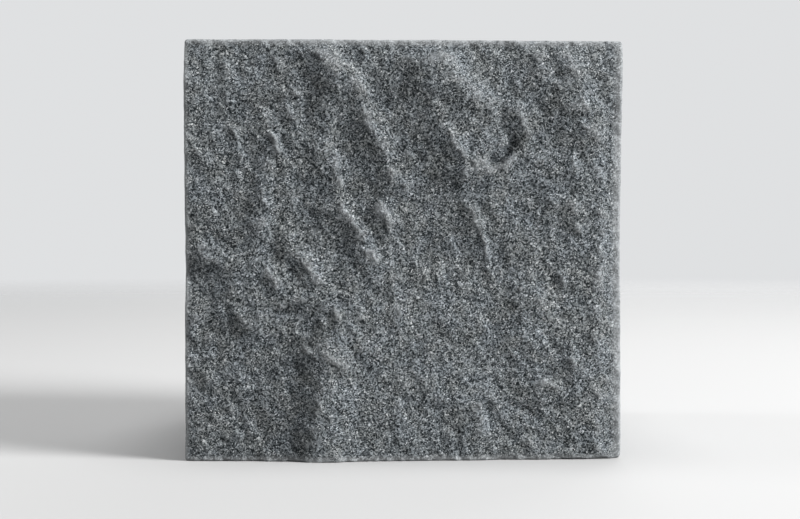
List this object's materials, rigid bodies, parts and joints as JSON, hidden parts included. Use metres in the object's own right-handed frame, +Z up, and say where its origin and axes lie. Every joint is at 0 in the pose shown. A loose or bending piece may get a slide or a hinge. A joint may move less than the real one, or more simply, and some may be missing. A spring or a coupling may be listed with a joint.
{
  "type": "granite sett",
  "caption": "Block of grey granite for paving and walling, with sawn sides, a sawn bed and a ridged split face.",
  "frame": {"origin": "middle of the underside, the sawn side that the sett stands on", "axes": "+X across the split face to its right edge as seen from the front, +Y from the split face to the sawn bed face, +Z up"},
  "size_m": [0.1, 0.094, 0.096],
  "materials": {
    "granite": "rough split face, fine sawn sides"
  },
  "bodies": {
    "root": {"sett": "granite"}
  },
  "joints": []
}
